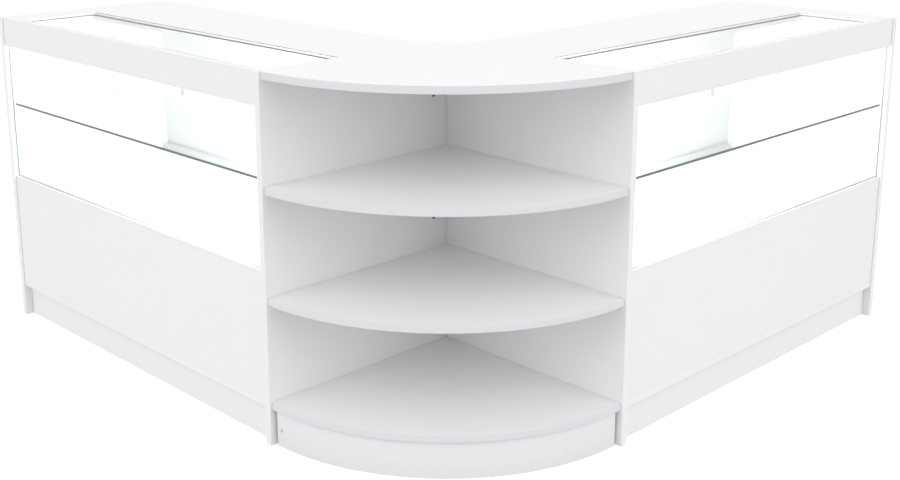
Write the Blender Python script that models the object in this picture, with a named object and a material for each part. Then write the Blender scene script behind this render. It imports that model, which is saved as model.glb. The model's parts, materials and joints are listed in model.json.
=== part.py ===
# L-shaped retail checkout counter: two mirrored display counters meeting a
# quarter-round open shelf unit at the outer corner. Metres, +Z up.
# The origin is under the middle of the footprint, on the floor. The right-hand
# counter runs along +X with its front facing -Y, and the left-hand counter runs
# along +Y with its front facing -X, so the customers' side is -X and -Y.

import math

import bmesh
import bpy
from mathutils import Vector

# Overall sizes
height = 0.900
counter_length = 1.208          # from the shared corner panel to the outer end face
counter_depth = 0.542
corner_side = 0.604             # outside size of the corner unit, along either wall
board = 0.018                   # thickness of every board
fit_gap = 0.0003                # clearance between pieces that touch

# Corner unit
corner_plinth_height = 0.092
corner_bay_height = 0.247       # clear height of the two upper bays
shelf_edge_setback = 0.006      # round edges behind the walls' front edges
curved_plinth_setback = 0.014
curved_plinth_end_gap = 0.008
arc_steps = 40                  # straight stretches in a quarter circle

# Front of a counter
face_setback = 0.004            # fascia and lower panel behind the end panel's edge
fascia_height = 0.082
lower_panel_top = 0.433
plinth_setback = 0.022
glass_setback = 0.007           # front glass behind the faces above and below it
pane_thickness = 0.006
groove_depth = 0.008            # how far the front glass enters the boards
groove_clearance = 0.0005
arris = 0.0008                  # rounding of the boards' edges

# Glass top
top_glass_gap = 0.002
top_glass_width = 0.218
top_glass_end_margin = 0.114    # solid top between the glass and the outer end face
seal_width = 0.005
seal_drop = 0.0006              # seal below the top's surface
ledge_width = 0.012             # part of the top that the glass lies on
batten_size = 0.018

# Glass shelf
shelf_thickness = 0.008
shelf_below_top = 0.250          # from the counter's top to the shelf's top
shelf_front_gap = 0.003         # behind the front glass
shelf_rear_gap = 0.0856          # between the shelf and the door tracks
shelf_end_gap = 0.002
angle_size = 0.014              # legs of the angle strips that carry the shelf
angle_wall = 0.002

# Storage below the display
storage_shelf_top = 0.276
storage_shelf_setback = 0.030   # from the deck's rear edge
divider_setback = 0.012
rear_plinth_setback = 0.040
rear_setback = 0.004            # deck and tracks in front of the counter's rear edge

# Sliding doors
door_thickness = 0.012
door_overlap = 0.034            # how far the two closed doors lie behind each other
door_end_gap = 0.0015
track_fin = 0.002
track_side_clearance = 0.0006
track_floor = 0.006
lower_track_height = 0.020
upper_track_height = 0.028
door_engagement_low = 0.013
door_engagement_high = 0.010
pull_length = 0.075
pull_width = 0.018
pull_from_end = 0.100           # pull's middle to the counter's inner end
pull_rim = 0.0022
pull_recess = 0.009
pull_lip = 0.0010
pull_clearance = 0.0004

# Small fittings
screw_head_radius = 0.0055
screw_head_height = 0.0030
screw_shank_radius = 0.0020
screw_shank_length = 0.0120
screw_bore_clearance = 0.0004
screw_from_rear = 0.065         # screw's centre to the corner unit's rear edge
screw_drops = (0.110, 0.165)     # below the ceilings of the two upper bays
cap_radius = 0.005
cap_height = 0.0012
cap_stem_radius = 0.0025
cap_stem_length = 0.008
cap_height_above_floor = 0.043
cap_angle = math.radians(2.4)   # round from the left wall
round_steps = 16

# Worked out from the sizes above
overall = corner_side + counter_length
corner_clear = corner_side - board
corner_radius = corner_clear - shelf_edge_setback
curved_plinth_radius = corner_clear - curved_plinth_setback
base_top = corner_plinth_height + board
top_underside = height - board
fascia_bottom = height - fascia_height
inner_length = counter_length - board
glass_front = face_setback + glass_setback
deck_rear = counter_depth - rear_setback
groove_width = door_thickness + 2.0 * track_side_clearance
track_width = 3.0 * track_fin + 2.0 * groove_width
track_front = deck_rear - track_width
door_length = (inner_length + door_overlap) / 2.0 - door_end_gap
upper_shelf_top = top_underside - corner_bay_height
lower_shelf_top = upper_shelf_top - board - corner_bay_height
shelf_top = height - shelf_below_top
shelf_front = glass_front + pane_thickness + shelf_front_gap
shelf_rear = track_front - shelf_rear_gap
front_corner = Vector((-overall / 2.0, -overall / 2.0, 0.0))


def clear_scene():
    for item in list(bpy.data.objects):
        bpy.data.objects.remove(item, do_unlink=True)


def make_material(name, colour, roughness, metallic=0.0, alpha=1.0):
    material = bpy.data.materials.new(name)
    material.use_nodes = True
    shader = material.node_tree.nodes["Principled BSDF"]
    shader.inputs["Base Color"].default_value = (*colour, 1.0)
    shader.inputs["Roughness"].default_value = roughness
    shader.inputs["Metallic"].default_value = metallic
    shader.inputs["Alpha"].default_value = alpha
    material.diffuse_color = (*colour, alpha)
    return material


def white_board(name):
    return make_material(name + "_melamine", (0.86, 0.86, 0.86), 0.42)


def clear_glass(name):
    return make_material(name + "_glass", (0.80, 0.90, 0.88), 0.03, alpha=0.35)


def white_plastic(name):
    return make_material(name + "_plastic", (0.82, 0.82, 0.82), 0.5)


def grey_plastic(name):
    return make_material(name + "_plastic", (0.60, 0.60, 0.61), 0.45)


def grey_rubber(name):
    return make_material(name + "_rubber", (0.08, 0.08, 0.085), 0.7)


def coated_aluminium(name):
    return make_material(name + "_aluminium", (0.84, 0.84, 0.84), 0.38)


def dark_steel(name):
    return make_material(name + "_steel", (0.20, 0.20, 0.21), 0.4, metallic=1.0)


class Run:
    """Where one counter stands: along is its length, deep is front to rear."""

    def __init__(self, name, along, deep):
        self.name = name
        self.along = Vector(along)
        self.deep = Vector(deep)
        self.root = bpy.data.objects.new(name + "_counter", None)
        self.root.location = front_corner + self.along * corner_side
        bpy.context.collection.objects.link(self.root)

    def offset(self, length, depth, rise):
        return self.along * length + self.deep * depth + Vector((0.0, 0.0, rise))


def add_object(name, shape, material, location, parent=None):
    mesh = bpy.data.meshes.new(name)
    bmesh.ops.recalc_face_normals(shape, faces=shape.faces[:])
    shape.to_mesh(mesh)
    shape.free()
    piece = bpy.data.objects.new(name, mesh)
    piece.data.materials.append(material)
    piece.location = location
    piece.parent = parent
    bpy.context.collection.objects.link(piece)
    return piece


def round_edges(piece, width=arris):
    bevel = piece.modifiers.new("rounded_edges", "BEVEL")
    bevel.width = width
    bevel.segments = 1
    bevel.limit_method = "ANGLE"
    bevel.angle_limit = math.radians(40.0)
    return piece


def block_shape(size):
    shape = bmesh.new()
    bmesh.ops.create_cube(shape, size=1.0)
    bmesh.ops.scale(shape, vec=size, verts=shape.verts)
    return shape


def run_block(run, name, length, depth, rise, material, parent=None, place=None):
    """A box in a counter's own directions; each span is a (low, high) pair."""
    spans = (length, depth, rise)
    size = run.offset(*(high - low for low, high in spans))
    middle = run.offset(*((low + high) / 2.0 for low, high in spans))
    if place is not None:
        middle -= place
    return add_object(run.name + "_" + name, block_shape(size), material, middle, parent or run.root)


def extrude_outline(points, direction):
    """A closed solid: the outline's points, moved along direction."""
    shape = bmesh.new()
    face = shape.faces.new([shape.verts.new(point) for point in points])
    extruded = bmesh.ops.extrude_face_region(shape, geom=[face])
    moved = [item for item in extruded["geom"] if isinstance(item, bmesh.types.BMVert)]
    bmesh.ops.translate(shape, vec=direction, verts=moved)
    return shape


def run_profile(run, name, profile, length, material):
    """A section drawn in depth and rise, extruded along the counter."""
    low, high = length
    points = [run.offset(0.0, depth, rise) for depth, rise in profile]
    shape = extrude_outline(points, run.along * (high - low))
    return add_object(run.name + "_" + name, shape, material, run.offset(low, 0.0, 0.0), run.root)


def cut_with(piece, cutters):
    for number, cutter in enumerate(cutters):
        cutter.hide_render = True
        cutter.display_type = "WIRE"
        cut = piece.modifiers.new("cut_%d" % number, "BOOLEAN")
        cut.operation = "DIFFERENCE"
        cut.solver = "EXACT"
        cut.object = cutter


# The corner unit

def arc_points(radius, first, last, steps):
    middle = front_corner + Vector((corner_clear, corner_clear, 0.0))
    points = []
    for step in range(steps + 1):
        angle = first + (last - first) * step / steps
        points.append(middle + Vector((-math.cos(angle), -math.sin(angle), 0.0)) * radius)
    return points


def quarter_board(name, top):
    """A quarter disc between the two walls, its centre near the rear corner."""
    inner = arc_points(corner_radius, 0.0, math.pi / 2.0, arc_steps)
    points = [point.copy() for point in inner]
    points[0].y -= fit_gap
    points[-1].x -= fit_gap
    rear = front_corner + Vector((corner_clear - fit_gap, corner_clear - fit_gap, 0.0))
    shape = extrude_outline(points + [rear], Vector((0.0, 0.0, -board)))
    piece = add_object(name, shape, white_board(name), (0.0, 0.0, top))
    return round_edges(piece)


def corner_walls():
    low = front_corner
    left_size = Vector((corner_side, board, height))
    left = add_object("corner_left_wall", block_shape(left_size), white_board("corner_left_wall"),
                      low + Vector((corner_side / 2.0, corner_clear + board / 2.0, height / 2.0)))
    right_length = corner_clear - fit_gap
    right_size = Vector((board, right_length, height))
    right = add_object("corner_right_wall", block_shape(right_size), white_board("corner_right_wall"),
                       low + Vector((corner_clear + board / 2.0, right_length / 2.0, height / 2.0)))
    round_edges(left)
    round_edges(right)
    return left, right


def curved_plinth():
    """An upright board bent round under the base, open at the back."""
    swing = math.asin(curved_plinth_end_gap / curved_plinth_radius)
    outer = arc_points(curved_plinth_radius, swing, math.pi / 2.0 - swing, arc_steps)
    inner = arc_points(curved_plinth_radius - board, swing, math.pi / 2.0 - swing, arc_steps)
    rise = corner_plinth_height - fit_gap
    shape = extrude_outline(outer + inner[::-1], Vector((0.0, 0.0, rise)))
    return add_object("corner_curved_plinth", shape, white_board("corner_curved_plinth"), (0.0, 0.0, 0.0))


def turned_shape(profile, steps=round_steps):
    """Spin a profile of (radius, height) points about Z; its ends are on the axis."""
    shape = bmesh.new()
    verts = [shape.verts.new((radius, 0.0, rise)) for radius, rise in profile]
    edges = [shape.edges.new(pair) for pair in zip(verts, verts[1:])]
    bmesh.ops.spin(shape, geom=verts + edges, cent=(0.0, 0.0, 0.0), axis=(0.0, 0.0, 1.0),
                   angle=math.tau, steps=steps, use_merge=True)
    bmesh.ops.remove_doubles(shape, verts=shape.verts[:], dist=0.00001)
    return shape


def headed_pin(name, head_radius, head_height, stem_radius, stem_length, material, location, axis):
    """A low round head with a stem behind it; the head faces along axis."""
    dome = head_height * 0.4
    profile = [(0.0, head_height), (head_radius - dome, head_height), (head_radius, head_height - dome),
               (head_radius, 0.0), (stem_radius, 0.0), (stem_radius, -stem_length), (0.0, -stem_length)]
    piece = add_object(name, turned_shape(profile), material, location)
    piece.rotation_euler = Vector(axis).to_track_quat("Z", "Y").to_euler()
    piece.data.shade_smooth()
    piece.data.set_sharp_from_angle(angle=math.radians(35.0))
    return piece


def bore_cutter(name, radius, depth, location, axis):
    """A round cutter from just outside a face to depth below it."""
    outside = 0.002
    profile = [(0.0, outside), (radius, outside), (radius, -depth), (0.0, -depth)]
    cutter = add_object(name, turned_shape(profile), white_plastic(name), location)
    cutter.rotation_euler = Vector(axis).to_track_quat("Z", "Y").to_euler()
    return cutter


def corner_screws(wall):
    cutters = []
    ceilings = (top_underside, upper_shelf_top - board)
    for number, (ceiling, drop) in enumerate(zip(ceilings, screw_drops), start=1):
        name = "corner_joint_screw_%d" % number
        face = front_corner + Vector((corner_side - screw_from_rear, corner_clear, ceiling - drop))
        headed_pin(name, screw_head_radius, screw_head_height, screw_shank_radius, screw_shank_length,
                   dark_steel(name), face - Vector((0.0, fit_gap, 0.0)), (0.0, -1.0, 0.0))
        cutters.append(bore_cutter(name + "_bore", screw_shank_radius + screw_bore_clearance,
                                   screw_shank_length + fit_gap, face, (0.0, -1.0, 0.0)))
    cut_with(wall, cutters)


def plinth_cap(plinth):
    """A push-in cover cap over the screw at the curved plinth's left end."""
    outward = Vector((-math.cos(cap_angle), -math.sin(cap_angle), 0.0))
    middle = front_corner + Vector((corner_clear, corner_clear, cap_height_above_floor))
    face = middle + outward * curved_plinth_radius
    headed_pin("corner_plinth_cap", cap_radius, cap_height, cap_stem_radius, cap_stem_length,
               white_plastic("corner_plinth_cap"), face + outward * fit_gap, outward)
    cutter = bore_cutter("corner_plinth_cap_bore", cap_stem_radius + screw_bore_clearance,
                         cap_stem_length + fit_gap, face, outward)
    cut_with(plinth, [cutter])


def build_corner():
    left, right = corner_walls()
    quarter_board("corner_top", height)
    quarter_board("corner_upper_shelf", upper_shelf_top)
    quarter_board("corner_lower_shelf", lower_shelf_top)
    quarter_board("corner_base", base_top)
    corner_screws(left)
    plinth_cap(curved_plinth())


# The two counters

def end_panel(run):
    name = "end_panel"
    piece = run_block(run, name, (inner_length, counter_length), (0.0, counter_depth), (0.0, height),
                      white_board(run.name + "_" + name))
    round_edges(piece)


def grooved_rail(run, name, low, high, groove_at_top):
    """An upright board behind the face line with a groove for the front glass."""
    front = face_setback
    rear = front + board
    groove_front = glass_front - groove_clearance
    groove_rear = glass_front + pane_thickness + groove_clearance
    if groove_at_top:
        edge, floor = high, high - groove_depth - groove_clearance
    else:
        edge, floor = low, low + groove_depth + groove_clearance
    far = low if groove_at_top else high
    profile = [(front, far), (front, edge), (groove_front, edge), (groove_front, floor),
               (groove_rear, floor), (groove_rear, edge), (rear, edge), (rear, far)]
    piece = run_profile(run, name, profile, (fit_gap, inner_length - fit_gap),
                        white_board(run.name + "_" + name))
    round_edges(piece, arris * 0.5)


def front_boards(run):
    grooved_rail(run, "fascia", fascia_bottom, height, groove_at_top=False)
    grooved_rail(run, "lower_panel", base_top + fit_gap, lower_panel_top, groove_at_top=True)
    name = "base_board"
    piece = run_block(run, name, (fit_gap, inner_length - fit_gap), (face_setback, deck_rear),
                      (corner_plinth_height, base_top), white_board(run.name + "_" + name))
    round_edges(piece)
    plinth_rise = (0.0, corner_plinth_height - fit_gap)
    name = "plinth"
    run_block(run, name, (fit_gap, inner_length - fit_gap), (plinth_setback, plinth_setback + board),
              plinth_rise, white_board(run.name + "_" + name))
    name = "rear_plinth"
    rear = counter_depth - rear_plinth_setback
    run_block(run, name, (fit_gap, inner_length - fit_gap), (rear - board, rear),
              plinth_rise, white_board(run.name + "_" + name))


def front_glass(run):
    name = "front_glass"
    run_block(run, name, (fit_gap, inner_length - fit_gap), (glass_front, glass_front + pane_thickness),
              (lower_panel_top - groove_depth, fascia_bottom + groove_depth),
              clear_glass(run.name + "_" + name))


def top_board(run):
    """The solid top, cut away for the glass, with a step left for it to lie on."""
    name = "top_board"
    front = face_setback + board + fit_gap
    glass_rear = face_setback + board + top_glass_gap + top_glass_width
    glass_end = counter_length - top_glass_end_margin
    piece = run_block(run, name, (fit_gap, inner_length - fit_gap), (front, counter_depth),
                      (top_underside, height), white_board(run.name + "_" + name))
    over = 0.01
    through = run_block(run, "top_opening", (-over, glass_end - ledge_width),
                        (front - over, glass_rear - ledge_width),
                        (top_underside - over, height + over), white_plastic("opening"))
    step = run_block(run, "top_step", (-over, glass_end + fit_gap),
                     (front - over, glass_rear + seal_width),
                     (height - pane_thickness - fit_gap, height + over), white_plastic("step"))
    cut_with(piece, [through, step])
    batten_name = "glass_batten"
    batten_rear = front + batten_size
    batten_top = height - pane_thickness - fit_gap
    run_block(run, batten_name, (fit_gap, glass_end - ledge_width - fit_gap), (front, batten_rear),
              (batten_top - batten_size, batten_top), white_board(run.name + "_" + batten_name))
    return glass_rear, glass_end


def glass_top(run):
    glass_rear, glass_end = top_board(run)
    name = "top_glass"
    glass_low = face_setback + board + top_glass_gap
    piece = run_block(run, name, (fit_gap * 2.0, glass_end), (glass_low, glass_rear),
                      (height - pane_thickness, height), clear_glass(run.name + "_" + name))
    round_edges(piece, arris * 0.75)
    name = "top_seal"
    run_block(run, name, (fit_gap * 2.0, glass_end),
              (glass_rear + fit_gap, glass_rear + seal_width - fit_gap),
              (height - pane_thickness, height - seal_drop), grey_rubber(run.name + "_" + name))


def display_deck(run):
    name = "display_deck"
    front = face_setback + board + fit_gap
    piece = run_block(run, name, (fit_gap, inner_length - fit_gap), (front, deck_rear),
                      (lower_panel_top - board, lower_panel_top), white_board(run.name + "_" + name))
    round_edges(piece)


def shelf_angle(run, name, face, inward):
    """An L-section strip on an end wall; face is the wall, inward its open side."""
    top = shelf_top - shelf_thickness - fit_gap
    wall = face + inward * fit_gap
    section = [(wall, top), (wall + inward * angle_size, top),
               (wall + inward * angle_size, top - angle_wall), (wall + inward * angle_wall, top - angle_wall),
               (wall + inward * angle_wall, top - angle_size), (wall, top - angle_size)]
    start = shelf_front + angle_size
    reach = shelf_rear - angle_size - start
    points = [run.offset(length, 0.0, rise) for length, rise in section]
    shape = extrude_outline(points, run.deep * reach)
    add_object(run.name + "_" + name, shape, coated_aluminium(run.name + "_" + name),
               run.offset(0.0, start, 0.0), run.root)


def glass_shelf(run):
    name = "glass_shelf"
    piece = run_block(run, name, (shelf_end_gap, inner_length - shelf_end_gap), (shelf_front, shelf_rear),
                      (shelf_top - shelf_thickness, shelf_top), clear_glass(run.name + "_" + name))
    round_edges(piece)
    shelf_angle(run, "shelf_angle_near", 0.0, 1.0)
    shelf_angle(run, "shelf_angle_far", inner_length, -1.0)


def storage(run):
    """The open shelves that face the cashier, under the display."""
    ceiling = lower_panel_top - board
    middle = inner_length / 2.0
    front = face_setback + board + fit_gap
    name = "divider"
    piece = run_block(run, name, (middle - board / 2.0, middle + board / 2.0),
                      (front, deck_rear - divider_setback),
                      (base_top + fit_gap, ceiling - fit_gap), white_board(run.name + "_" + name))
    round_edges(piece)
    halves = {"storage_shelf_near": (fit_gap, middle - board / 2.0 - fit_gap),
              "storage_shelf_far": (middle + board / 2.0 + fit_gap, inner_length - fit_gap)}
    for name, length in halves.items():
        piece = run_block(run, name, length, (front, deck_rear - storage_shelf_setback),
                          (storage_shelf_top - board, storage_shelf_top), white_board(run.name + "_" + name))
        round_edges(piece)


def track_section(low, high, base_low, base_high):
    """An E-section in depth and rise: a base with three fins and two grooves."""
    fins_up = base_low == low
    tip = high if fins_up else low
    floor = base_high if fins_up else base_low
    back = low if fins_up else high
    first = track_front + track_fin
    second = first + groove_width + track_fin
    end = track_front + track_width
    return [(track_front, back), (track_front, tip), (first, tip), (first, floor),
            (first + groove_width, floor), (first + groove_width, tip), (second, tip), (second, floor),
            (second + groove_width, floor), (second + groove_width, tip), (end, tip), (end, back)]


def door_tracks(run):
    length = (fit_gap, inner_length - fit_gap)
    low = lower_panel_top + fit_gap
    high = lower_panel_top + lower_track_height
    section = track_section(low, high, low, low + track_floor)
    run_profile(run, "lower_track", section, length, white_plastic(run.name + "_lower_track"))
    low = top_underside - upper_track_height
    high = top_underside - fit_gap
    section = track_section(low, high, high - track_floor, high)
    run_profile(run, "upper_track", section, length, white_plastic(run.name + "_upper_track"))


def door_rise():
    low = lower_panel_top + lower_track_height - door_engagement_low
    high = top_underside - upper_track_height + door_engagement_high
    return low, high


def flush_pull(run, name, middle_length, door_rear, carrier, place):
    """A black cup let into the door, open to the cashier's side."""
    low, high = door_rise()
    middle_rise = (low + high) / 2.0
    half_width = pull_width / 2.0
    half_length = pull_length / 2.0
    body = run_block(run, name, (middle_length - half_width, middle_length + half_width),
                     (door_rear - door_thickness, door_rear + pull_lip),
                     (middle_rise - half_length, middle_rise + half_length),
                     grey_plastic(run.name + "_" + name), carrier, place)
    recess = run_block(run, name + "_recess",
                       (middle_length - half_width + pull_rim, middle_length + half_width - pull_rim),
                       (door_rear - pull_recess, door_rear + 2.0 * pull_lip),
                       (middle_rise - half_length + pull_rim, middle_rise + half_length - pull_rim),
                       white_plastic(name + "_recess"), carrier, place)
    cut_with(body, [recess])
    reach_across = half_width + pull_clearance
    reach_up = half_length + pull_clearance
    return run_block(run, name + "_mortise",
                     (middle_length - reach_across, middle_length + reach_across),
                     (door_rear - 2.0 * door_thickness, door_rear + door_thickness),
                     (middle_rise - reach_up, middle_rise + reach_up),
                     white_plastic(name + "_mortise"), carrier, place)


def sliding_door(run, name, length, groove, pull_middle):
    """One door in groove 0 (display side) or 1 (cashier's side), with its pull."""
    front = track_front + track_fin + groove * (groove_width + track_fin) + track_side_clearance
    rear = front + door_thickness
    low, high = door_rise()
    place = run.offset(length[0], front, low)
    carrier = bpy.data.objects.new(run.name + "_" + name + "_slide", None)
    carrier.location = place
    carrier.parent = run.root
    bpy.context.collection.objects.link(carrier)
    door = run_block(run, name, length, (front, rear), (low, high),
                     white_board(run.name + "_" + name), carrier, place)
    mortise = flush_pull(run, name + "_pull", pull_middle, rear, carrier, place)
    cut_with(door, [mortise])


def sliding_doors(run):
    near = (door_end_gap, door_end_gap + door_length)
    far = (inner_length - door_end_gap - door_length, inner_length - door_end_gap)
    sliding_door(run, "near_door", near, 0, pull_from_end)
    sliding_door(run, "far_door", far, 1, inner_length - pull_from_end)


def build_counter(run):
    end_panel(run)
    front_boards(run)
    front_glass(run)
    glass_top(run)
    display_deck(run)
    glass_shelf(run)
    storage(run)
    door_tracks(run)
    sliding_doors(run)


clear_scene()
build_corner()
build_counter(Run("right", (1.0, 0.0, 0.0), (0.0, 1.0, 0.0)))
build_counter(Run("left", (0.0, 1.0, 0.0), (1.0, 0.0, 0.0)))
bpy.context.view_layer.update()
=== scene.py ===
# Looks for the L-shaped checkout counter: finer boards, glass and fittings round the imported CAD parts
import json
import math

import bmesh
import bpy
from mathutils import Matrix, Vector

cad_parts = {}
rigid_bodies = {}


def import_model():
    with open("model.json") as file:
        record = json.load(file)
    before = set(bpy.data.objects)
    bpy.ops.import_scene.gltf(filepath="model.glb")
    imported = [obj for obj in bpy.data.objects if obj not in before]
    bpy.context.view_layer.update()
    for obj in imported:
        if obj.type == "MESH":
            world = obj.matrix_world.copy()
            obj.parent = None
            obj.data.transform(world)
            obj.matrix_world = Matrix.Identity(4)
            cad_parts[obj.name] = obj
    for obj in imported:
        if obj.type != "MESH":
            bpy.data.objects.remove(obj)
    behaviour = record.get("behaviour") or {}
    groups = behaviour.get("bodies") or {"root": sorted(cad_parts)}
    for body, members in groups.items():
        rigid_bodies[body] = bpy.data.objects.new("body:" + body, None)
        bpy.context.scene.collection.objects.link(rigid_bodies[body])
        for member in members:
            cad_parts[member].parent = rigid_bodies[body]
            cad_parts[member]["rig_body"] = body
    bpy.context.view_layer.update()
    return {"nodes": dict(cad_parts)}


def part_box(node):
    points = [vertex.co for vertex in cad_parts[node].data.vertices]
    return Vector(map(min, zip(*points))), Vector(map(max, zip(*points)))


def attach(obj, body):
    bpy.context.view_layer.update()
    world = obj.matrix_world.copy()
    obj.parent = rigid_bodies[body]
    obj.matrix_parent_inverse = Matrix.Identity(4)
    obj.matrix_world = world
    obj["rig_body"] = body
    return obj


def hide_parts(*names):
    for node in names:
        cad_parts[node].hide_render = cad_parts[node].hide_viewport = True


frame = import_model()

nodes = frame["nodes"]
sides = {"right": 0, "left": 1}      # each counter and the axis that it runs along


# Node trees

class Value:
    # a socket that can be used in sums; each sum adds a Math node
    def __init__(self, shade, socket):
        self.shade = shade
        self.socket = socket

    def math(self, operation, first, second):
        return self.shade.add("ShaderNodeMath", {"operation": operation}, {0: first, 1: second})

    def __add__(self, other):
        return self.math("ADD", self, other)

    __radd__ = __add__

    def __sub__(self, other):
        return self.math("SUBTRACT", self, other)

    def __rsub__(self, other):
        return self.math("SUBTRACT", other, self)

    def __mul__(self, other):
        return self.math("MULTIPLY", self, other)

    __rmul__ = __mul__


class Shade:
    # one material and the nodes in it
    def __init__(self, name):
        self.material = bpy.data.materials.new(name)
        self.material.use_nodes = True
        self.tree = self.material.node_tree
        self.tree.nodes.clear()

    def add(self, kind, settings, sockets, output=0):
        node = self.tree.nodes.new(kind)
        for name, setting in settings.items():
            if name == "stops":
                self.setStops(node.color_ramp, setting)
            else:
                setattr(node, name, setting)
        for name, value in sockets.items():
            if isinstance(value, Value):
                self.tree.links.new(value.socket, node.inputs[name])
            else:
                node.inputs[name].default_value = value
        return Value(self, node.outputs[output]) if node.outputs else None

    def setStops(self, ramp, stops):
        for element, (position, grey) in zip(ramp.elements, stops):
            element.position = position
            element.color = (grey, grey, grey, 1.0)

    def place(self, stretch=(1.0, 1.0, 1.0)):
        coordinates = self.add("ShaderNodeTexCoord", {}, {}, output=3)
        return self.add("ShaderNodeMapping", {}, {"Vector": coordinates, "Scale": stretch})

    def noise(self, place, perMetre, detail=2.0):
        return self.add("ShaderNodeTexNoise", {}, {"Vector": place, "Scale": perMetre, "Detail": detail})

    def between(self, factor, first, second):
        # a colour between two, by a factor from 0 to 1
        pair = [colour if isinstance(colour, Value) else (*colour, 1.0) for colour in (first, second)]
        return self.add("ShaderNodeMix", {"data_type": "RGBA"}, {0: factor, 6: pair[0], 7: pair[1]}, 2)

    def finish(self, shader):
        self.add("ShaderNodeOutputMaterial", {}, {"Surface": shader})
        return self.material


# Finishes

def whiteMelamine():
    look = {"colour": (0.868, 0.869, 0.870), "cloud": (0.852, 0.853, 0.856), "roughness": 0.40,
            "spread": 0.10, "pearlPerMetre": 620.0, "cloudPerMetre": 4.0, "pearlDepth": 0.00005}
    shade = Shade("whiteMelamine")
    place = shade.place()
    pearl = shade.noise(place, look["pearlPerMetre"], 3.0)       # the fine embossing of the facing
    cloud = shade.noise(place, look["cloudPerMetre"], 3.0)
    grain = shade.noise(place, look["pearlPerMetre"] * 0.3)
    mix = cloud * 0.6 + grain * 0.4
    return shade.finish(shade.add("ShaderNodeBsdfPrincipled", {}, {
        "Base Color": shade.between(mix, look["cloud"], look["colour"]),
        "Roughness": (pearl - 0.5) * look["spread"] + look["roughness"],
        "Normal": shade.add("ShaderNodeBump", {}, {"Height": pearl + grain, "Distance": look["pearlDepth"]}),
        "Specular IOR Level": 0.45}))


def edgeBand(name, colour, worn):
    look = {"roughness": 0.30, "spread": 0.12, "wearPerMetre": 45.0, "ripplePerMetre": 900.0,
            "rippleDepth": 0.00003}
    shade = Shade(name)
    place = shade.place()
    wear = shade.noise(place, look["wearPerMetre"], 4.0)
    spots = shade.add("ShaderNodeValToRGB", {"stops": [(0.56, 0.0), (0.74, 1.0)]}, {"Fac": wear})
    ripple = shade.noise(place, look["ripplePerMetre"])
    return shade.finish(shade.add("ShaderNodeBsdfPrincipled", {}, {
        "Base Color": shade.between(spots, colour, worn),
        "Roughness": wear * look["spread"] + look["roughness"],
        "Normal": shade.add("ShaderNodeBump", {}, {"Height": ripple, "Distance": look["rippleDepth"]})}))


def paneFace():
    look = {"tint": (0.982, 0.992, 0.989, 1.0), "ior": 1.5, "roughness": 0.008, "smear": 0.03,
            "smearPerMetre": 9.0}
    shade = Shade("clearPane")
    smear = shade.noise(shade.place(), look["smearPerMetre"], 4.0)
    through = shade.add("ShaderNodeBsdfTransparent", {}, {"Color": look["tint"]})
    polish = smear * look["smear"] + look["roughness"]
    mirror = shade.add("ShaderNodeBsdfAnisotropic", {}, {"Roughness": polish})
    inside = shade.add("ShaderNodeNewGeometry", {}, {}, output=6)     # 1 on a face seen from within the glass
    share = shade.add("ShaderNodeFresnel", {}, {"IOR": look["ior"]}) * (1.0 - inside)
    return shade.finish(shade.add("ShaderNodeMixShader", {}, {0: share, 1: through, 2: mirror}))


def paneEdge(name, within, paintedGlow):
    # dark green from outside; seen from within the glass the same edge shows a painted inner tone and a
    # painted glow, which stand in for the light the glass carries
    look = {"deep": (0.085, 0.125, 0.118), "light": (0.150, 0.200, 0.190), "roughness": 0.16,
            "perMetre": 38.0}
    shade = Shade(name)
    place = shade.place()
    drift = shade.noise(place, look["perMetre"], 3.0)
    grind = shade.noise(place, look["perMetre"] * 30.0)
    inside = shade.add("ShaderNodeNewGeometry", {}, {}, output=6)
    outer = shade.between(drift, look["deep"], look["light"])
    return shade.finish(shade.add("ShaderNodeBsdfPrincipled", {}, {
        # painted light: seen from within the glass the base colour is a painted inner tone and the emission is
        # a painted glow
        "Base Color": shade.between(inside, outer, within), "Emission Strength": 1.0,
        "Emission Color": shade.between(inside, (0.0, 0.0, 0.0), paintedGlow),
        "Roughness": grind * 0.1 + look["roughness"], "IOR": 1.5}))


def sealRubber():
    look = {"colour": (0.026, 0.025, 0.026), "dusty": (0.048, 0.046, 0.048), "roughness": 0.62,
            "perMetre": 300.0}
    shade = Shade("darkSealRubber")
    place = shade.place()
    dust = shade.noise(place, look["perMetre"], 3.0)
    return shade.finish(shade.add("ShaderNodeBsdfPrincipled", {}, {
        "Base Color": shade.between(dust, look["colour"], look["dusty"]),
        "Roughness": dust * 0.15 + look["roughness"],
        "Normal": shade.add("ShaderNodeBump", {}, {"Height": dust, "Distance": 0.00005})}))


def coatedAluminium():
    look = {"colour": (0.850, 0.850, 0.852), "thin": (0.815, 0.815, 0.820), "roughness": 0.36,
            "peelPerMetre": 700.0, "peelDepth": 0.00003}
    shade = Shade("whiteCoatedAluminium")
    peel = shade.noise(shade.place(), look["peelPerMetre"], 2.0)      # the orange peel of a powder coat
    return shade.finish(shade.add("ShaderNodeBsdfPrincipled", {}, {
        "Base Color": shade.between(peel, look["thin"], look["colour"]),
        "Roughness": peel * 0.14 + look["roughness"],
        "Normal": shade.add("ShaderNodeBump", {}, {"Height": peel, "Distance": look["peelDepth"]})}))


def mouldedPlastic(name, colour, shadow, roughness, perMetre=1100.0):
    shade = Shade(name)
    place = shade.place()
    grain = shade.noise(place, perMetre, 2.0)
    drift = shade.noise(place, perMetre / 60.0, 2.0)
    return shade.finish(shade.add("ShaderNodeBsdfPrincipled", {}, {
        "Base Color": shade.between(drift, shadow, colour),
        "Roughness": grain * 0.12 + roughness,
        "Normal": shade.add("ShaderNodeBump", {}, {"Height": grain, "Distance": 0.00004})}))


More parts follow.
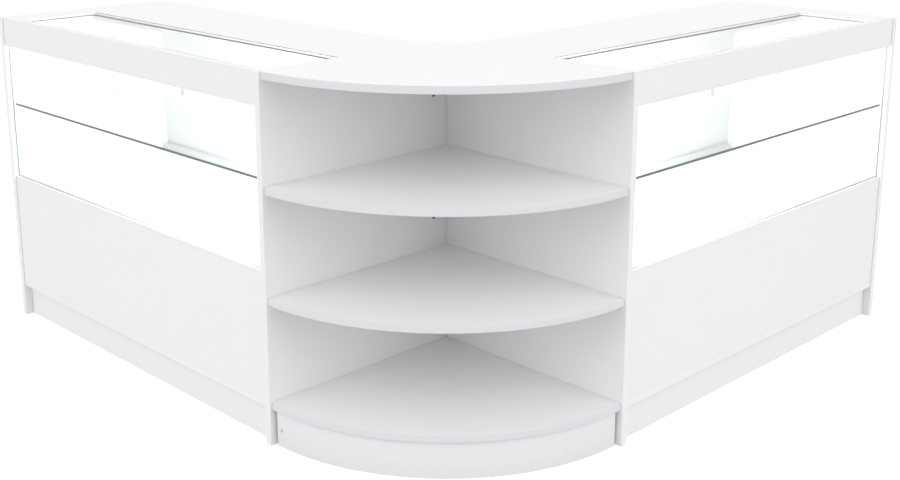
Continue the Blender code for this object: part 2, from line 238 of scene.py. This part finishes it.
def darkZinc():
    look = {"colour": (0.17, 0.17, 0.18), "bright": (0.34, 0.34, 0.35), "roughness": 0.32, "perMetre": 500.0}
    shade = Shade("darkZinc")
    spots = shade.noise(shade.place(), look["perMetre"], 3.0)
    return shade.finish(shade.add("ShaderNodeBsdfPrincipled", {}, {
        "Base Color": shade.between(spots, look["colour"], look["bright"]), "Metallic": 1.0,
        "Roughness": spots * 0.2 + look["roughness"]}))


faceFinish = whiteMelamine()
bandFinish = edgeBand("whiteEdgeBand", (0.872, 0.873, 0.873), (0.845, 0.846, 0.848))
# painted shade: the curved boards' band is the white band made greyer, standing in for the shade on the curved
# fronts
curvedBandPaintedShade = edgeBand("flexibleEdgeBandPaintedShade", (0.735, 0.740, 0.768), (0.715, 0.720, 0.745))
# painted shade: the bent plinth's facing is made greyer, standing in for the shade on the curved plinth
bentPlinthPaintedShade = edgeBand("bentPlinthFacingPaintedShade", (0.800, 0.805, 0.818), (0.785, 0.790, 0.803))
glassFinish = paneFace()
# loose panes: painted pale inner tone and painted glow on their edges; seated front pane: dim painted inner
# tone and no glow
paleEdgeFinish = paneEdge("polishedPaneEdgePaintedGlow", (0.950, 0.982, 0.974), (0.250, 0.265, 0.262))
dullEdgeFinish = paneEdge("seatedPaneEdge", (0.240, 0.300, 0.320), (0.0, 0.0, 0.0))
rubberFinish = sealRubber()
whitePlastic = mouldedPlastic("whiteTrackPlastic", (0.84, 0.84, 0.84), (0.80, 0.80, 0.81), 0.38)
greyPlastic = mouldedPlastic("greyPullPlastic", (0.60, 0.60, 0.61), (0.56, 0.56, 0.57), 0.36)
angleFinish = coatedAluminium()
# painted shade: the white cap is coloured grey, standing in for the shade round the small domed cap
capPlasticPaintedShade = mouldedPlastic("capPlasticPaintedShade", (0.66, 0.66, 0.67), (0.60, 0.60, 0.61), 0.30)
zincFinish = darkZinc()
print("finishes made:", len(bpy.data.materials))


# Shared modelling steps

edges = {"band": 0.0011, "radius": 0.0007, "segments": 3, "sharp": math.radians(50.0)}


def roundOff(shape, sharpEdges, radius, segments=edges["segments"]):
    return bmesh.ops.bevel(shape, geom=sharpEdges, offset=radius, offset_type="OFFSET", affect="EDGES",
                           segments=segments, profile=0.5, material=-1, clamp_overlap=True)


def cornersOf(shape, angle=edges["sharp"]):
    return [edge for edge in shape.edges if edge.is_manifold and edge.calc_face_angle(0.0) > angle]


def block(low, high):
    shape = bmesh.new()
    bmesh.ops.create_cube(shape, size=1.0)
    bmesh.ops.scale(shape, vec=high - low, verts=shape.verts)
    bmesh.ops.translate(shape, vec=(low + high) / 2.0, verts=shape.verts)
    return shape


def drawFace(shape, points):
    return shape.faces.new([shape.verts.new(point) for point in points])


def pull(shape, faces, along):
    # extrudes faces into a solid and returns the moved faces
    moved = bmesh.ops.extrude_face_region(shape, geom=faces)["geom"]
    verts = [item for item in moved if isinstance(item, bmesh.types.BMVert)]
    bmesh.ops.translate(shape, vec=along, verts=verts)
    return [item for item in moved if isinstance(item, bmesh.types.BMFace)]


def bandEdges(shape, flat, radius=edges["radius"]):
    # flat is the axis through the board; its two faces keep the facing, all narrow sides get the band
    bmesh.ops.recalc_face_normals(shape, faces=shape.faces[:])
    outline = cornersOf(shape)
    direction = Vector([1.0 if axis == flat else 0.0 for axis in range(3)])
    broad = [face for face in shape.faces if abs(face.normal.dot(direction)) > 0.9]
    narrow = [face for face in shape.faces if abs(face.normal.dot(direction)) <= 0.9]
    for face in shape.faces:
        face.material_index = 1
    for face in broad:
        face.material_index = 0
    ring = bmesh.ops.inset_region(shape, faces=broad, thickness=edges["band"], use_even_offset=True)
    for face in ring["faces"]:
        face.material_index = 1
    bmesh.ops.inset_individual(shape, faces=narrow, thickness=edges["band"], use_even_offset=True)
    roundOff(shape, [edge for edge in outline if edge.is_valid], radius)


def addPiece(name, shape, finishes, replaced, smooth=35.0):
    mesh = bpy.data.meshes.new(name)
    shape.to_mesh(mesh)
    shape.free()
    for finish in finishes:
        mesh.materials.append(finish)
    mesh.shade_smooth()
    mesh.set_sharp_from_angle(angle=math.radians(smooth))
    piece = bpy.data.objects.new(name, mesh)
    bpy.context.collection.objects.link(piece)
    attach(piece, nodes[replaced]["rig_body"])
    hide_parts(replaced)
    return piece


def board(node, flat):
    # a plain rectangular board with its four narrow sides banded
    low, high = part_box(node)
    shape = block(low, high)
    bandEdges(shape, flat)
    return addPiece(node + "_board", shape, [faceFinish, bandFinish], node)


def cleanCopy(node):
    shape = bmesh.new()
    shape.from_mesh(nodes[node].data)
    bmesh.ops.remove_doubles(shape, verts=shape.verts[:], dist=0.00001)
    bmesh.ops.dissolve_limit(shape, angle_limit=math.radians(1.0), verts=shape.verts[:], edges=shape.edges[:])
    bmesh.ops.recalc_face_normals(shape, faces=shape.faces[:])
    return shape


def softened(node, name, finishes, radius, segments=2):
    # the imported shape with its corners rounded
    shape = cleanCopy(node)
    roundOff(shape, cornersOf(shape), radius, segments)
    return addPiece(node + name, shape, finishes, node)


# The round corner unit

corner = {"steps": 72, "plinthWall": 0.018, "screwSlot": 0.0011}
cornerLow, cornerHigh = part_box("corner_top")
cornerCentre = Vector((cornerHigh.x, cornerHigh.y, 0.0))


def sweep(shape, start, angle, steps):
    # spins a point or a loop of edges round the corner's upright axis
    return bmesh.ops.spin(shape, geom=start, cent=cornerCentre, axis=(0.0, 0.0, 1.0), angle=angle,
                          steps=steps)


def quarterBoard(node):
    low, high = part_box(node)
    shape = bmesh.new()
    first = shape.verts.new((low.x, high.y, low.z))
    sweep(shape, [first], math.pi / 2.0, corner["steps"])
    rim = shape.edges[:]
    ends = [vert for vert in shape.verts if len(vert.link_edges) == 1]
    rear = shape.verts.new((high.x, high.y, low.z))
    sideEdges = [shape.edges.new((rear, end)) for end in ends]
    face = bmesh.ops.contextual_create(shape, geom=rim + sideEdges)["faces"]
    pull(shape, face, Vector((0.0, 0.0, high.z - low.z)))
    bandEdges(shape, 2)
    # the curved edges take the greyer band with painted shade
    return addPiece(node + "_board", shape, [faceFinish, curvedBandPaintedShade], node)


def curvedPlinth(node):
    low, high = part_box(node)
    radius = cornerCentre.x - low.x
    gap = cornerCentre.y - high.y
    swing = math.asin(gap / radius)
    shape = bmesh.new()
    section = [(-radius, low.z), (-radius, high.z), (corner["plinthWall"] - radius, high.z),
               (corner["plinthWall"] - radius, low.z)]
    loop = drawFace(shape, [cornerCentre + Vector((across, 0.0, rise)) for across, rise in section])
    bmesh.ops.rotate(shape, cent=cornerCentre, matrix=Matrix.Rotation(swing, 3, "Z"), verts=shape.verts[:])
    rim = list(loop.edges)
    bmesh.ops.delete(shape, geom=[loop], context="FACES_ONLY")
    sweep(shape, list(shape.verts) + rim, math.pi / 2.0 - 2.0 * swing, corner["steps"])
    bmesh.ops.holes_fill(shape, edges=[edge for edge in shape.edges if edge.is_boundary])
    bmesh.ops.recalc_face_normals(shape, faces=shape.faces[:])
    roundOff(shape, cornersOf(shape), edges["radius"])
    return addPiece(node + "_board", shape, [bentPlinthPaintedShade], node)


def crossHeadScrew(node):
    # the screw goes into the wall along +Y, and its head faces -Y
    low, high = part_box(node)
    headRadius = (high.x - low.x) / 2.0
    headRise = headRadius * 0.55
    shankRadius = headRadius * 0.36
    centre = Vector(((low.x + high.x) / 2.0, low.y, (low.z + high.z) / 2.0))
    shape = bmesh.new()
    profile = [(0.0, 0.0), (headRadius * 0.45, headRise * 0.06), (headRadius * 0.8, headRise * 0.28),
               (headRadius * 0.97, headRise * 0.62), (headRadius, headRise), (shankRadius, headRise),
               (shankRadius, high.y - low.y - shankRadius), (0.0, high.y - low.y)]
    verts = [shape.verts.new((across, deep, 0.0)) for across, deep in profile]
    lines = [shape.edges.new(pair) for pair in zip(verts, verts[1:])]
    bmesh.ops.spin(shape, geom=verts + lines, cent=(0.0, 0.0, 0.0), axis=(0.0, 1.0, 0.0), angle=math.tau,
                   steps=32, use_merge=True)
    bmesh.ops.remove_doubles(shape, verts=shape.verts[:], dist=0.000001)
    bmesh.ops.recalc_face_normals(shape, faces=shape.faces[:])
    bmesh.ops.translate(shape, vec=centre, verts=shape.verts)
    piece = addPiece(node + "_crosshead", shape, [zincFinish], node)
    for turn in (0.0, math.pi / 2.0):
        slot = bmesh.new()
        bmesh.ops.create_cube(slot, size=1.0)
        bmesh.ops.scale(slot, vec=(headRadius * 1.1, headRise * 1.6, corner["screwSlot"]), verts=slot.verts)
        tip = [vert for vert in slot.verts if vert.co.y > 0.0]
        bmesh.ops.scale(slot, vec=(0.35, 1.0, 0.7), verts=tip)
        swing = Matrix.Rotation(turn + 0.4, 3, "Y")
        bmesh.ops.rotate(slot, cent=(0.0, 0.0, 0.0), matrix=swing, verts=slot.verts)
        bmesh.ops.translate(slot, vec=centre, verts=slot.verts)
        cutAway(piece, slot)
    return piece


def cutAway(piece, slot):
    # takes the slot's shape out of a piece, for good
    mesh = bpy.data.meshes.new("cutter")
    slot.to_mesh(mesh)
    slot.free()
    cutter = bpy.data.objects.new("cutter", mesh)
    bpy.context.collection.objects.link(cutter)
    modifier = piece.modifiers.new("cut", "BOOLEAN")
    modifier.operation = "DIFFERENCE"
    modifier.solver = "EXACT"
    modifier.object = cutter
    bpy.context.view_layer.update()
    cut = bpy.data.meshes.new_from_object(piece.evaluated_get(bpy.context.evaluated_depsgraph_get()))
    piece.modifiers.clear()
    piece.data = cut
    bpy.data.objects.remove(cutter)


def buildCorner():
    board("corner_left_wall", 1)
    board("corner_right_wall", 0)
    for node in ("corner_top", "corner_upper_shelf", "corner_lower_shelf", "corner_base"):
        quarterBoard(node)
    curvedPlinth("corner_curved_plinth")
    crossHeadScrew("corner_joint_screw_1")
    crossHeadScrew("corner_joint_screw_2")
    softened("corner_plinth_cap", "_domed", [capPlasticPaintedShade], 0.0004)


buildCorner()
print("corner unit made")


# The two counters

class Run:
    # one counter's own directions: length outward from the corner, depth from its front to its rear
    def __init__(self, side):
        self.side = side
        self.axis = sides[side]
        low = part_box(side + "_end_panel")[0]
        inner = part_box("corner_right_wall" if side == "right" else "corner_left_wall")[1]
        self.start = inner[self.axis]
        self.front = low[1 - self.axis]

    def at(self, length, depth, rise):
        point = Vector((0.0, 0.0, rise))
        point[self.axis] = self.start + length
        point[1 - self.axis] = self.front + depth
        return point

    def deep(self, depth):
        return self.at(0.0, depth, 0.0) - self.at(0.0, 0.0, 0.0)

    def spans(self, node):
        # (low, high) of a node in length, depth and rise
        low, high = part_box(self.side + "_" + node)
        begin = {self.axis: self.start, 1 - self.axis: self.front, 2: 0.0}
        return [(low[axis] - begin[axis], high[axis] - begin[axis]) for axis in (self.axis, 1 - self.axis, 2)]


grooves = {"depth": 0.0085, "clearance": 0.0012}
ledge = {"width": 0.012, "gap": 0.0003}
cup = {"clearance": 0.0004, "corner": 0.0016, "lip": 0.0008, "flange": 0.0022, "wall": 0.0016,
       "hollow": 0.0095, "taper": 0.93, "radius": 0.00035}


def groovedBoard(run, node, grooveOnTop):
    # an upright board with a groove along one edge for the front glass
    length, depth, rise = run.spans(node)
    glass = run.spans("front_glass")[1]
    front, rear = glass[0] - grooves["clearance"], glass[1] + grooves["clearance"]
    if grooveOnTop:
        edge, far, floor = rise[1], rise[0], rise[1] - grooves["depth"]
    else:
        edge, far, floor = rise[0], rise[1], rise[0] + grooves["depth"]
    section = [(depth[0], far), (depth[0], edge), (front, edge), (front, floor), (rear, floor), (rear, edge),
               (depth[1], edge), (depth[1], far)]
    shape = bmesh.new()
    face = drawFace(shape, [run.at(length[0], deep, up) for deep, up in section])
    along = run.at(length[1], 0.0, 0.0) - run.at(length[0], 0.0, 0.0)
    pull(shape, [face], along)
    bandEdges(shape, 1 - run.axis)
    name = run.side + "_" + node
    return addPiece(name + "_board", shape, [faceFinish, bandFinish], name)


def topBoard(run):
    # the solid top with its opening and the step that the glass lies on
    length, depth, rise = run.spans("top_board")
    glassLength, glassDepth, glassRise = run.spans("top_glass")
    sealDepth = run.spans("top_seal")[1]
    gap, width = ledge["gap"], ledge["width"]
    stepRise = glassRise[0] - gap
    inner = [(length[0], glassDepth[1] - width), (glassLength[1] - width, glassDepth[1] - width),
             (glassLength[1] - width, depth[0])]
    outer = [(length[0], sealDepth[1] + gap), (glassLength[1] + gap, sealDepth[1] + gap),
             (glassLength[1] + gap, depth[0])]
    rest = [(length[1], depth[0]), (length[1], depth[1]), (length[0], depth[1])]
    shape = bmesh.new()
    underside = drawFace(shape, [run.at(across, deep, rise[0]) for across, deep in inner + rest])
    step = pull(shape, [underside], Vector((0.0, 0.0, stepRise - rise[0])))
    flat = pull(shape, step, Vector((0.0, 0.0, 0.0)))
    for (acrossFrom, deepFrom), (acrossTo, deepTo) in zip(inner, outer):
        start = run.at(acrossFrom, deepFrom, stepRise)
        moving = [vert for vert in flat[0].verts if (vert.co - start).length < gap]
        bmesh.ops.translate(shape, vec=run.at(acrossTo, deepTo, stepRise) - start, verts=moving)
    pull(shape, flat, Vector((0.0, 0.0, rise[1] - stepRise)))
    bmesh.ops.dissolve_degenerate(shape, dist=0.00001, edges=shape.edges[:])
    bmesh.ops.remove_doubles(shape, verts=shape.verts[:], dist=0.00001)
    bandEdges(shape, 2, 0.0004)
    name = run.side + "_top_board"
    return addPiece(name + "_panel", shape, [faceFinish, bandFinish], name)


def rectangle(shape, run, length, depth, rise):
    # four edges standing across the counter
    turns = ((0, 0), (1, 0), (1, 1), (0, 1))
    verts = [shape.verts.new(run.at(length[first], depth, rise[second])) for first, second in turns]
    return [shape.edges.new((verts[number - 1], verts[number])) for number in range(4)]


def slidingDoor(run, node):
    # a thin board with a hole through it for its pull
    length, depth, rise = run.spans(node)
    pullLength, pullDepth, pullRise = run.spans(node + "_pull")
    gap = cup["clearance"]
    shape = bmesh.new()
    loops = rectangle(shape, run, length, depth[0], rise)
    loops += rectangle(shape, run, (pullLength[0] - gap, pullLength[1] + gap), depth[0],
                       (pullRise[0] - gap, pullRise[1] + gap))
    faces = bmesh.ops.bridge_loops(shape, edges=loops)["faces"]
    pull(shape, faces, run.deep(depth[1] - depth[0]))
    bandEdges(shape, 1 - run.axis, 0.0004)
    name = run.side + "_" + node
    return addPiece(name + "_panel", shape, [faceFinish, bandFinish], name)


def flushPull(run, node):
    # a moulded cup: body through the door, flange over the hole's edge, hollow for the fingers
    length, depth, rise = run.spans(node)
    middle = run.at(sum(length) / 2.0, depth[1], sum(rise) / 2.0)
    size = (length[1] - length[0], rise[1] - rise[0])
    shape = bmesh.new()
    outline = rectangle(shape, run, length, depth[0], rise)
    face = bmesh.ops.contextual_create(shape, geom=outline)["faces"]
    bmesh.ops.bevel(shape, geom=list(face[0].verts), offset=cup["corner"], offset_type="OFFSET",
                    affect="VERTICES", segments=4, profile=0.5, material=-1)
    flangeRear = depth[1] - depth[0]
    body = pull(shape, shape.faces[:], run.deep(flangeRear - cup["lip"]))
    flange = pull(shape, body, Vector((0.0, 0.0, 0.0)))
    grown = [(extent + 2.0 * cup["flange"]) / extent for extent in size]
    stretch = [1.0, 1.0, grown[1]]
    stretch[run.axis] = grown[0]
    scaleAbout(shape, middle, stretch, flange)
    rim = pull(shape, flange, run.deep(cup["lip"]))
    bmesh.ops.inset_region(shape, faces=rim, thickness=cup["flange"] + cup["wall"], use_even_offset=True)
    hollow = pull(shape, rim, run.deep(-cup["hollow"]))
    taper = [cup["taper"]] * 3
    taper[1 - run.axis] = 1.0
    scaleAbout(shape, middle, taper, hollow)
    bmesh.ops.recalc_face_normals(shape, faces=shape.faces[:])
    roundOff(shape, cornersOf(shape), cup["radius"])
    name = run.side + "_" + node
    return addPiece(name + "_cup", shape, [greyPlastic], name)


def scaleAbout(shape, centre, factors, faces):
    verts = list({vert for face in faces for vert in face.verts})
    bmesh.ops.scale(shape, vec=factors, space=Matrix.Translation(-centre), verts=verts)


def frontAndTop(run):
    side = run.side
    across = 1 - run.axis
    board(side + "_end_panel", run.axis)
    groovedBoard(run, "fascia", False)
    groovedBoard(run, "lower_panel", True)
    board(side + "_base_board", 2)
    board(side + "_plinth", across)
    board(side + "_rear_plinth", across)
    board(side + "_display_deck", 2)
    board(side + "_divider", run.axis)
    board(side + "_storage_shelf_near", 2)
    board(side + "_storage_shelf_far", 2)
    board(side + "_glass_batten", 2)


def pane(node, flat, arris, edgeFinish, resting=False):
    # a sheet of glass: clear faces and arrises, tinted polished edges; a resting sheet stays square underneath
    low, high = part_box(node)
    shape = block(low, high)
    middle = (low[flat] + high[flat]) / 2.0
    eased = [edge for edge in cornersOf(shape)
             if not resting or min(vert.co[flat] for vert in edge.verts) > middle]
    roundOff(shape, eased, arris, 1)
    for face in shape.faces:
        face.material_index = 0 if abs(face.normal[flat]) > 0.5 else 1
    return addPiece(node + "_pane", shape, [glassFinish, edgeFinish], node, 20.0)


def slidingParts(run):
    for node in ("near_door", "far_door"):
        slidingDoor(run, node)
        flushPull(run, node + "_pull")
    for node in ("lower_track", "upper_track"):
        softened(run.side + "_" + node, "_extrusion", [whitePlastic], 0.0003)


def shelfFittings(run):
    for node in ("shelf_angle_near", "shelf_angle_far"):
        softened(run.side + "_" + node, "_strip", [angleFinish], 0.0003)
    softened(run.side + "_top_seal", "_strip", [rubberFinish], 0.0002, 3)


for side in sides:
    run = Run(side)
    frontAndTop(run)
    topBoard(run)
    slidingParts(run)
    shelfFittings(run)
    pane(side + "_front_glass", 1 - run.axis, 0.0006, dullEdgeFinish)
    pane(side + "_top_glass", 2, 0.0003, paleEdgeFinish, True)
    pane(side + "_glass_shelf", 2, 0.0008, paleEdgeFinish)
    print(side, "counter made")


# Floor, light and camera

studio = {"shooting": 45.3, "floor": 0.38, "lift": 0.42, "overhead": 0.10,
          "softboxes": [(45.0, 32.0, 8.0, 1.88), (55.0, 12.0, 12.0, 1.15), (90.0, 35.0, 6.0, 1.00),
                        (150.0, 30.0, 4.0, 0.88)]}


def addFloor():
    shape = bmesh.new()
    bmesh.ops.create_grid(shape, x_segments=1, y_segments=1, size=14.0)
    bmesh.ops.translate(shape, vec=(0.0, 0.0, -0.0006), verts=shape.verts)
    mesh = bpy.data.meshes.new("studioFloor")
    shape.to_mesh(mesh)
    shape.free()
    shade = Shade("paleFloor")
    grain = shade.noise(shade.place(), 60.0, 2.0)
    seen = shade.add("ShaderNodeLightPath", {}, {})          # 1 where the camera looks straight at the floor
    paint = shade.add("ShaderNodeBsdfPrincipled", {}, {
        "Base Color": shade.between(grain, (0.30, 0.30, 0.30), (0.32, 0.32, 0.32)), "Roughness": 0.9,
        "Specular IOR Level": 0.1, "Emission Color": (1.0, 1.0, 1.0, 1.0),
        "Emission Strength": seen * studio["lift"] + studio["floor"]})
    mesh.materials.append(shade.finish(paint))
    floor = bpy.data.objects.new("studioFloor", mesh)
    bpy.context.collection.objects.link(floor)


class Sky(Shade):
    # the world's own tree, with soft lobes of light in it
    def __init__(self, name):
        self.material = bpy.data.worlds.new(name)
        self.material.use_nodes = True
        self.tree = self.material.node_tree
        self.tree.nodes.clear()
        self.way = self.add("ShaderNodeTexCoord", {}, {})

    def lobe(self, turn, rise, spread):
        # a soft light, turned sideways from the camera's side and raised, both in degrees
        flat = math.radians(studio["shooting"] + 180.0 + turn)
        lift = math.radians(rise)
        toward = (math.cos(flat) * math.cos(lift), math.sin(flat) * math.cos(lift), math.sin(lift))
        facing = self.add("ShaderNodeVectorMath", {"operation": "DOT_PRODUCT"}, {0: self.way, 1: toward}, 1)
        return facing.math("POWER", facing.math("MAXIMUM", facing, 0.0), spread)


def addWorld():
    sky = Sky("softboxes")
    total = sky.lobe(0.0, 90.0, 3.0) * studio["overhead"]
    for turn, rise, spread, strength in studio["softboxes"]:
        total = total + (sky.lobe(turn, rise, spread) + sky.lobe(-turn, rise, spread)) * strength
    light = sky.add("ShaderNodeBackground", {}, {"Color": (1.0, 1.0, 1.0, 1.0), "Strength": total})
    sky.add("ShaderNodeOutputWorld", {}, {"Surface": light})
    bpy.context.scene.world = sky.material


def addLamp(name, location, target, size, power):
    data = bpy.data.lights.new(name, "AREA")
    data.shape = "RECTANGLE"
    data.size, data.size_y = size
    data.energy = power
    lamp = bpy.data.objects.new(name, data)
    bpy.context.collection.objects.link(lamp)
    lamp.location = location
    lamp.rotation_euler = (Vector(target) - Vector(location)).to_track_quat("-Z", "Y").to_euler()
    lamp.visible_camera = False
    lamp.visible_glossy = False
    return lamp


def lightDisplays():
    # small soft lights in each display, by the corner and facing outward: above the shelf and below it
    for side in sides:
        run = Run(side)
        outward = run.at(1.0, 0.0, 0.0) - run.at(0.0, 0.0, 0.0)
        for name, rise, power in (("Upper", 0.77, 8.5), ("Lower", 0.54, 3.2)):
            start = run.at(0.03, 0.26, rise)
            addLamp(side + name + "Light", start, start + outward, (0.42, 0.16), power)


def addCamera():
    view = {"place": (-2.568, -2.578, 1.4055), "heading": 45.315, "down": 14.27, "lens": 51.22,
            "shift": (0.0082, -0.0891)}
    data = bpy.data.cameras.new("camera")
    data.lens = view["lens"]
    data.sensor_width = 36.0
    data.shift_x, data.shift_y = view["shift"]
    data.clip_end = 60.0
    camera = bpy.data.objects.new("camera", data)
    camera.location = view["place"]
    camera.rotation_euler = (math.radians(90.0 - view["down"]), 0.0, math.radians(view["heading"] - 90.0))
    bpy.context.collection.objects.link(camera)
    bpy.context.scene.camera = camera


addFloor()
addWorld()
lightDisplays()
addCamera()
bpy.context.scene.view_settings.view_transform = "Standard"
print("floor, light and camera set")
